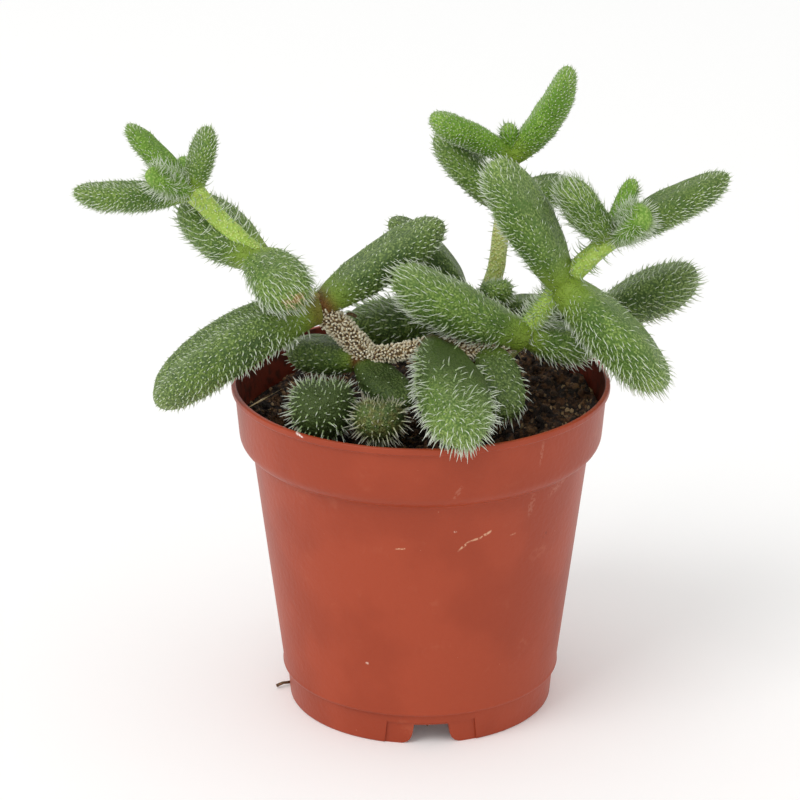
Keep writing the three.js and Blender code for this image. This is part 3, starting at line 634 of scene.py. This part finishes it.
def pot_plastic():
    """Injection-moulded polypropylene: satin, faintly mottled, with dust, pale scuffs, a few specks, and
    painted shade inside.
    """
    return finish("moulded_polypropylene", "a54326", [
        ("9a3c20", 0.8, (14.0, 0.6, 0.4)),
        ("b8694c", 0.3, (5.0, 0.6, 0.8), (0.8, 0.4, 0.6)),
        ("dcae90", 0.5, (0.6, 0.77, 0.8)),
        # The inner wall is painted dark red, and near black in blotches: painted shade inside the pot
        ("561e14", 0.8, ("inside", 0.2, 1)),
        ("2a160e", 0.7, ("inside", 0.5, 1), (1.5, 0.45, 0.65)),
        *((code, most, (shape, 1.6, 1.1), (0.35, 0.4, 0.55)) for *shape, code, most in POT_MARKS),
    ], [(0.02, 0.8, 0.3, 0.7)], Roughness=0.4, IOR=1.49, Specular_IOR_Level=0.3)


SKINS = {
    "old_leaf": leaf_skin("old_leaf_skin", "40582a", "688238", "a8bc74", "7a9056"),
    "leaf": leaf_skin("leaf_skin", "4c6c2a", "789642", "b2c878", "82985c"),
    "young_leaf": leaf_skin("young_leaf_skin", "5e8828", "7eaa38", "b8d478", "7ea83e"),
    "bark": stem_skin("woody_stem", "4a3620", "6d5432", "8c7048", "2e2214", "5a2f1c"),
    "young_stem": stem_skin("young_stem_skin", "9cba46", "b4d25c", "d2e692", "a8c44c", "8a6236"),
    "old_stem": stem_skin("old_stem_skin", "aaba5e", "c8d07e", "dee4a6", "a89650", "7a5a34"),
}
GLASSY = bristle_look("glassy_bristle", "9db578", "e8ede0", "dac9aa")
STUBBLE = bristle_look("corky_stubble", "c8b084", "f4ecd4", "dac9aa")
PEAT = peat_look()
PLASTIC = pot_plastic()

# LEAVES AND STEMS

BRISTLES = bristle_tree()
LEAF = leaf_tree(BRISTLES)
STEM = stem_tree(BRISTLES)


def point(place):
    return Vector(NODES[place] if isinstance(place, str) else place)


def in_metres(measures):
    """Measures as a tree takes them, with the sizes of the bristles in metres."""
    return {key: value * (MM if key in COAT_SIZES else 1.0) for key, value in measures.items()}


def finished(piece, node, slot):
    """Puts a piece in the place of its node."""
    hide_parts(node)
    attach(piece, "root")


def make_leaf(name, seed):
    look, node, tip, width, long, apart, bare, own = LEAVES[name]
    leaf = {**PLAIN_LEAF, "length": long, "spacing": apart, "bare": bare, **own}
    base, tip = point(node), Vector(tip)
    way = (tip - base).normalized()
    face = Quaternion(way, math.radians(leaf["roll"])) @ (UP - way * way.z).normalized()
    middle = (base + tip) / 2 + face * 2 * leaf["arch"]
    piece = grown(name + "_leaf", LEAF, {
        **in_metres(leaf), "base": placed(base), "middle": placed(middle), "tip": placed(tip), "face": face,
        "width": width * MM, "skin": SKINS[look], "bristle": GLASSY, "seed": seed})
    finished(piece, "leaf_" + name, look)


# The hairs of each kind of stem, in the order that COAT gives
HAIRS = {
    "bark": (0.33, 0.46, 0.24, 0.65, 0.3, 0.2, 0.6),
    "young_stem": (0.37, 1.6, 0.14, 0, 0.5, -0.3, 0.35),
    "old_stem": (0.5, 0.8, 0.1, 0, 0.3, -0.3, 0.4),
}
# How thickly a young stem is haired, except below the node that is named here
FEW_HAIRS = 0.22
SHAGGY_BELOW = {"stem_right": "rightElbow"}
PATH_STEP = 0.5


def smooth_path(points):
    """A centripetal spline through the points, with a point at about every step."""
    ends = [2 * points[0] - points[1], *points, 2 * points[-1] - points[-2]]
    path = []
    for a, b, c, d in zip(ends, ends[1:], ends[2:], ends[3:]):
        t1 = (b - a).length ** 0.5
        t2 = t1 + (c - b).length ** 0.5
        t3 = t2 + (d - c).length ** 0.5
        count = max(2, round((c - b).length / PATH_STEP))
        for i in range(count + (d is ends[-1])):
            t = t1 + (t2 - t1) * i / count
            ab = a.lerp(b, t / t1)
            bc = b.lerp(c, (t - t1) / (t2 - t1))
            cd = c.lerp(d, (t - t2) / (t3 - t2))
            near, far = ab.lerp(bc, t / t2), bc.lerp(cd, (t - t1) / (t3 - t1))
            path.append(near.lerp(far, (t - t1) / (t2 - t1)))
    return path


def line_mesh(name, path, attributes):
    """A line of points in millimetres with a value of each attribute at each point."""
    mesh = bpy.data.meshes.new(name)
    mesh.from_pydata([placed(p) for p in path], [(i, i + 1) for i in range(len(path) - 1)], [])
    for label, values in attributes.items():
        mesh.attributes.new(label, "FLOAT", "POINT").data.foreach_set("value", values)
    return mesh


def make_stem(name, seed):
    look, radius, places = STEMS[name]
    joints = [point(place) for place in places]
    path = smooth_path(joints)
    radii, hairy = [], []
    shaggy_until = len(path) if look == "bark" else 0
    if name in SHAGGY_BELOW:
        elbow = point(SHAGGY_BELOW[name])
        shaggy_until = min(range(len(path)), key=lambda k: (path[k] - elbow).length)
    for k, spot in enumerate(path):
        near = min((spot - joint).length for joint in joints)
        radii.append(radius * MM * (1 + NODE_SWELL * math.exp(-near * near / NODE_REACH)))
        hairy.append(1.0 if k < shaggy_until else FEW_HAIRS)
    line = line_mesh(name, path, {"thickness": radii, "thick_here": hairy})
    piece = grown(name + "_stalk", STEM, {
        **in_metres(dict(zip(COAT, HAIRS[look]))), "skin": SKINS[look],
        "bristle": STUBBLE if look == "bark" else GLASSY, "seed": seed}, line)
    finished(piece, name, look)


# Stray bits: their look, skin, radius and points. A rootlet comes out of a drain notch, and a thread of fluff
# hangs from the rim.
STRAYS = {
    "rootlet": ("bark", SKINS["bark"], 0.27, [
        (-16.8, 2.4, 0.4), (-19.2, 0.3, 0.5), (-20.2, -0.4, 0.7), (-21.2, -0.8, 0.4)]),
    "notch_crumb": ("bark", SKINS["bark"], 0.25, [(0.7, -17.6, 2.9), (0.9, -17.8, 2.5), (1.1, -17.8, 2.4)]),
    "thread": ("old_stem", STUBBLE, 0.035, [(-24.4, -9, 47.6), (-21, -6, 48.5), (-18, -3.8, 49.5)]),
    "dried_tip": ("bark", SKINS["bark"], 0.22, [(-11.4, -3.6, 58.4), (-10.2, -3.2, 59.6), (-9.2, -3, 59.1)]),
}


def make_stray(name, seed):
    look, skin, radius, places = STRAYS[name]
    path = smooth_path([Vector(place) for place in places])
    line = line_mesh(name, path, {"thickness": [radius * MM] * len(path), "thick_here": [0.0] * len(path)})
    piece = grown("stray_" + name, STEM, {"spacing": MM, "skin": skin, "bristle": GLASSY, "seed": seed}, line)
    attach(piece, "root")


for number, leaf_name in enumerate(LEAVES):
    make_leaf(leaf_name, number + 1)
for number, stem_name in enumerate(STEMS):
    make_stem(stem_name, number + 101)
for number, stray_name in enumerate(STRAYS):
    make_stray(stray_name, number + 201)

# POT

# The wall's outline from the middle of the underside, out and up to the rim and back down inside: radius,
# height, and how round the corner is
POT_OUTLINE = [
    (0, 2.8, 0), (1.2, 2.8, 0.1), (1.4, 3.1, 0.1), (18.2, 3.1, 0.2), (18.2, 0, 0.25), (19.1, 0, 0.3),
    (19.5, 4.7, 0.08), (20.02, 4.85, 0.12), (20.16, 5.2, 0.14), (20.02, 5.6, 0), (24.15, 38.75, 0.15),
    (25.9, 39.9, 1.2), (26.55, 47.4, 0.15), (27.05, 47.65, 0.2), (27.05, 48.5, 0.25), (26.35, 48.5, 0.2),
    (25.3, 40.6, 0.5), (23.6, 38.9, 0.5), (19.1, 4, 0.5), (0, 4, 0),
]
POT_SIDES = 160
ARC_STEPS = 5
NOTCH_AZIMUTHS = (-85.5, 34.5, 154.5)
FOOT_RADIUS = 19.1
FOOT_LEAN = 0.092
# Radius and height up the middle of the wall
WALL_MIDDLE = [(18.6, 0), (18.6, 3.9), (19.35, 4.8), (23.9, 38.5), (25.45, 40.3), (26.45, 48.5)]
# A notch's top edge from its middle outwards, along the wall and up, with the foot's round corner beside it
NOTCH_HALF = [
    (0, 3.1), (0.8, 3.1), (1.6, 3.1), (2.45, 3.1), (2.8, 1.3), (3.05, 0.72), (3.5, 0.28), (4.1, 0.05),
    (4.6, -0.05),
]
NOTCH_INSIDE = 16.9
# The shallow panel round a notch: its depth, half its width below and above, and its top
PANEL_DEPTH = 0.3
PANEL_HALVES = (6.9, 6.3)
PANEL_TOP = 3.5
# The drain slot behind a notch: half its width, its two radii, and the heights that it is cut between
SLOT_HALF = 2.45
SLOT_RADII = (12.5, 17.3)
SLOT_HEIGHTS = (2, 5)
# Cuts that go right through end outside the wall and below the foot
PAST_WALL = 24
PAST_FOOT = -1
BLOCK_STEPS = 6
FLOOR_MIDDLE = 3.5
SHARP_ANGLE = 35
# A straight stretch gets its own point beside a corner where it is this much longer than the corner
LONG_STRETCH = 6


def rounded(outline):
    """The outline with round corners, and with a point beside each of them that keeps the flats flat."""
    made = []
    for i, (radius, height, corner) in enumerate(outline):
        here = Vector((radius, height))
        if not corner:
            made.append(here)
            continue
        before, after = (Vector(outline[i + k][:2]) - here for k in (-1, 1))
        start, end = here + before.normalized() * corner, here + after.normalized() * corner
        if before.length > LONG_STRETCH * corner:
            made.append(here + before.normalized() * 2 * corner)
        for step in range(ARC_STEPS + 1):
            share = step / ARC_STEPS
            made.append(start.lerp(here, share).lerp(here.lerp(end, share), share))
        if after.length > LONG_STRETCH * corner:
            made.append(here + after.normalized() * 2 * corner)
    return made


def spun(name, outline, sides, height=lambda x, y, z: z):
    """A closed outline that starts and ends on the axis, turned about it. height may move a point up or
    down."""
    points = [(0, 0, outline[0].y), (0, 0, outline[-1].y)]
    for spot in outline[1:-1]:
        for k in range(sides):
            turn = 2 * math.pi * k / sides
            points.append((spot.x * math.cos(turn), spot.x * math.sin(turn), spot.y))
    rings = len(outline) - 2
    faces = []
    for k in range(sides):
        after = (k + 1) % sides
        faces.append((0, 2 + after, 2 + k))
        faces.append((1, 2 + (rings - 1) * sides + k, 2 + (rings - 1) * sides + after))
        for ring in range(rings - 1):
            low = 2 + ring * sides
            faces.append((low + k, low + after, low + sides + after, low + sides + k))
    mesh = bpy.data.meshes.new(name)
    mesh.from_pydata([placed((x, y, height(x, y, z))) for x, y, z in points], [], faces)
    mesh.shade_smooth()
    return mesh


def curved_block(name, columns, inner, outer):
    """At each notch, a block between two radii. A column is its lowest and its highest point, each as a
    distance along the wall and a height."""
    points, faces = [], []
    for azimuth in NOTCH_AZIMUTHS:
        first = len(points)
        for column in columns:
            for radius in (inner, outer):
                for along, height in column:
                    turn = math.radians(azimuth) + along / FOOT_RADIUS
                    reach = radius + FOOT_LEAN * height
                    points.append(placed((reach * math.cos(turn), reach * math.sin(turn), height)))
        last = len(points) - 4
        faces += [(first, first + 2, first + 3, first + 1), (last, last + 1, last + 3, last + 2)]
        for k in range(first, last, 4):
            faces += [(k + a, k + b, k + 4 + b, k + 4 + a) for a, b in ((0, 1), (1, 3), (3, 2), (2, 0))]
    mesh = bpy.data.meshes.new(name)
    mesh.from_pydata(points, [], faces)
    return linked(name, mesh)


def even_columns(halves, heights):
    """The columns of a block with straight edges: half its width and its height, below and above."""
    return [[(half * k / BLOCK_STEPS, height) for half, height in zip(halves, heights)]
            for k in range(-BLOCK_STEPS, BLOCK_STEPS + 1)]


def middle_radius(height):
    """The radius of the middle of the pot's wall at this height, in millimetres."""
    for (low_radius, low), (high_radius, high) in zip(WALL_MIDDLE, WALL_MIDDLE[1:]):
        if height <= high:
            return low_radius + (high_radius - low_radius) * (height - low) / (high - low)
    return WALL_MIDDLE[-1][0]


def make_pot():
    """The moulded pot. Its foot has three notches, each in a shallow panel and with a slot in the floor."""
    edge = [(-along, height) for along, height in reversed(NOTCH_HALF[1:])] + NOTCH_HALF
    notch = [((along, PAST_FOOT), (along, height)) for along, height in edge]
    panel = even_columns(PANEL_HALVES, (PAST_FOOT, PANEL_TOP))
    slot = even_columns((SLOT_HALF, SLOT_HALF), SLOT_HEIGHTS)
    cutters = [
        curved_block("panels", panel, FOOT_RADIUS - PANEL_DEPTH, PAST_WALL),
        curved_block("notches", notch, NOTCH_INSIDE, PAST_WALL),
        curved_block("slots", slot, *SLOT_RADII),
    ]
    source = linked("pot_start", spun("pot_start", rounded(POT_OUTLINE), POT_SIDES))
    for cutter in cutters:
        cut = source.modifiers.new(cutter.name, "BOOLEAN")
        cut.operation = "DIFFERENCE"
        cut.solver = "EXACT"
        cut.object = cutter
    depsgraph = bpy.context.evaluated_depsgraph_get()
    mesh = bpy.data.meshes.new_from_object(source.evaluated_get(depsgraph))
    for used in (source, *cutters):
        bpy.data.objects.remove(used)
    mesh.shade_smooth()
    mesh.set_sharp_from_angle(angle=math.radians(SHARP_ANGLE))
    mesh.materials.clear()
    mesh.materials.append(PLASTIC)
    # Which points are on the inner wall above the floor, where painted shade darkens the pot
    inside = []
    for vertex in mesh.vertices:
        spot = (vertex.co - POT_AXIS) / MM
        inside.append(float(spot.z > FLOOR_MIDDLE and math.hypot(spot.x, spot.y) < middle_radius(spot.z)))
    mesh.attributes.new("inside", "FLOAT", "POINT").data.foreach_set("value", inside)
    finished(linked("moulded_pot", mesh), "pot", "terracotta_plastic")


make_pot()

# SOIL

SOIL_OUTLINE = [(0, 4.3), (18.8, 4.3), (23.3, 38.6), (25.1, 40.8), (25.35, 42.4)]
SOIL_LEVEL = 43
SOIL_SLOPE = 0.06
SOIL_RINGS = 40
SOIL_SIDES = 120
SOIL_SEED = 5
# Its waves, each by its pace to the right and to the back and its start, and their height
SOIL_WAVES = ((0.9, 1.3, 0), (1.7, -0.8, 2), (-1.1, 0.6, 4))
SOIL_WAVE_HEIGHT = 0.35
# Its lumps: their height, their pace and their layer of the noise
SOIL_LUMPS = ((1.1, 0.35, 3), (0.5, 1.1, 9))
# What is strewn on it: the spacing, the reach from the axis, the smallest and largest size, the height
# against the width, how far a bit may tip over, and the palest tone
STREWN = {
    "clod": (1.9, 24, 0.4, 1.1, 0.8, math.pi, 0.8),
    "crumb": (0.62, 25, 0.15, 0.5, 0.9, math.pi, 1.2),
    "fibre": (2.2, 23.5, 0.5, 1.4, 1, 0.4, 1.1),
}
STREWN_WAVES = ((0.5, 0.14),)
# How upright the normal of a face is that counts as the top
TOP_NORMAL = 0.75


def soil_height(x, y, z):
    """The soil rises a little to the back right, in waves and lumps."""
    if z < SOIL_LEVEL:
        return z
    waves = sum(math.sin(right * x + back * y + start) for right, back, start in SOIL_WAVES)
    lumps = sum(tall * noise.noise(Vector((x, y, layer)) * pace) for tall, pace, layer in SOIL_LUMPS)
    return z + SOIL_SLOPE * (x + y) + SOIL_WAVE_HEIGHT * waves + lumps


def peat_tree():
    """Clods, crumbs and fibres strewn over the top of the soil. tone is how pale each of them is."""
    tree, given = new_tree("crumbly peat", {"skin": "Material", "seed": "Int"})
    reach = add(tree, VECTOR_MATH, {
        0: add(tree, "GeometryNodeInputPosition"), 1: placed((0, 0, SOIL_LEVEL))}, operation="DISTANCE")
    level = add(tree, "ShaderNodeSeparateXYZ", {0: add(tree, "GeometryNodeInputNormal")}).outputs["Z"]
    level = add(tree, MATH, (level, TOP_NORMAL), operation="GREATER_THAN")
    clod = add(tree, "GeometryNodeMeshIcoSphere", {"Radius": 1.0, "Subdivisions": 2})
    crumb = add(tree, "GeometryNodeMeshIcoSphere", {"Radius": 1.0, "Subdivisions": 1})
    spine = add(tree, "GeometryNodeCurveQuadraticBezier", {
        "Resolution": 5, "Start": (-1, 0, 0), "Middle": (0.1, 0.7, 0.35), "End": (1, -0.2, 0)})
    ring = add(tree, "GeometryNodeCurvePrimitiveCircle", {"Resolution": 4, "Radius": 0.05})
    fibre = add(tree, "GeometryNodeCurveToMesh", {
        "Curve": spine, "Profile Curve": ring.outputs["Curve"], "Fill Caps": True})
    bits = []
    for number, (kind, shape) in enumerate({"clod": clod, "crumb": crumb, "fibre": fibre}.items()):
        spacing, edge, small, large, tall, tilt, pale = STREWN[kind]
        top = add(tree, MATH, (reach.outputs["Value"], edge * MM), operation="LESS_THAN")
        top = add(tree, MATH, (top, level), operation="MULTIPLY")
        seed = add(tree, MATH, (given["seed"], float(number)), operation="ADD")
        spots = add(tree, "GeometryNodeDistributePointsOnFaces", {
            "Mesh": given["Geometry"], "Selection": top, "Distance Min": spacing * MM,
            "Density Max": TRIES / (spacing * MM) ** 2, "Seed": seed}, distribute_method="POISSON")
        turn = add(tree, "FunctionNodeRandomValue", {
            "Min": (-tilt, -tilt, -math.pi), "Max": (tilt, tilt, math.pi), "Seed": seed},
            data_type="FLOAT_VECTOR")
        size = add(tree, "FunctionNodeRandomValue", {
            "Min": (small * MM, small * MM, small * tall * MM),
            "Max": (large * MM, large * MM, large * tall * MM), "Seed": seed}, data_type="FLOAT_VECTOR")
        strewn = add(tree, "GeometryNodeInstanceOnPoints", {
            "Points": spots, "Instance": shape, "Rotation": turn, "Scale": size})
        tone = add(tree, "FunctionNodeRandomValue", {"Min": 0.0, "Max": pale, "Seed": seed})
        bits.append(add(tree, "GeometryNodeStoreNamedAttribute", {
            "Geometry": strewn, "Name": "tone", "Value": tone}, domain="INSTANCE"))
    strewn = add(tree, "GeometryNodeJoinGeometry", {"Geometry": bits})
    strewn = add(tree, "GeometryNodeRealizeInstances", {"Geometry": strewn})
    strewn = uneven(tree, strewn, 1.0, STREWN_WAVES)
    whole = add(tree, "GeometryNodeJoinGeometry", {"Geometry": [strewn, given["Geometry"]]})
    whole = add(tree, "GeometryNodeSetMaterial", {"Geometry": whole, "Material": given["skin"]})
    add(tree, "NodeGroupOutput", {"Geometry": whole})
    return tree


def make_soil():
    outline = [Vector(spot) for spot in SOIL_OUTLINE]
    edge = outline[-1].x
    outline += [Vector((edge * (1 - k / SOIL_RINGS), SOIL_LEVEL)) for k in range(SOIL_RINGS + 1)]
    start = spun("soil_start", outline, SOIL_SIDES, soil_height)
    piece = grown("crumbly_soil", peat_tree(), {"skin": PEAT, "seed": SOIL_SEED}, start)
    finished(piece, "soil", "peat")


make_soil()

# FLOOR AND LIGHT

# In metres
FLOOR_CORNERS = [(-4, -4, 0), (4, -4, 0), (4, 4, 0), (-4, 4, 0)]
# What the lights are aimed at, in millimetres
LIT_SPOT = (0, 0, 50)

floor_mesh = bpy.data.meshes.new("floor")
floor_mesh.from_pydata(FLOOR_CORNERS, [], [(0, 1, 2, 3)])
floor = linked("floor", floor_mesh)
# Matt paper, made to glow a little: painted light that keeps it white
floor_mesh.materials.append(finish("pale_paper", "fbfbfa", Roughness=0.9, Emission_Strength=0.06))

world = bpy.data.worlds.new("studio")
world.use_nodes = True
surround = world.node_tree.nodes["Background"]
surround.inputs["Color"].default_value = (1, 1, 1, 1)
surround.inputs["Strength"].default_value = 0.8
bpy.context.scene.world = world
bpy.context.scene.view_settings.view_transform = "Standard"


def soft_box(name, place, size, power):
    """A square soft light at a place in millimetres, aimed at the plant."""
    data = bpy.data.lights.new(name, "AREA")
    data.size = size * MM
    data.energy = power
    light = linked(name, data)
    light.location = placed(place)
    light.rotation_euler = (placed(LIT_SPOT) - light.location).to_track_quat("-Z", "Y").to_euler()


soft_box("key_light", (-700, -700, 1200), 800, 8)
soft_box("fill_light", (800, -600, 500), 700, 0.15)
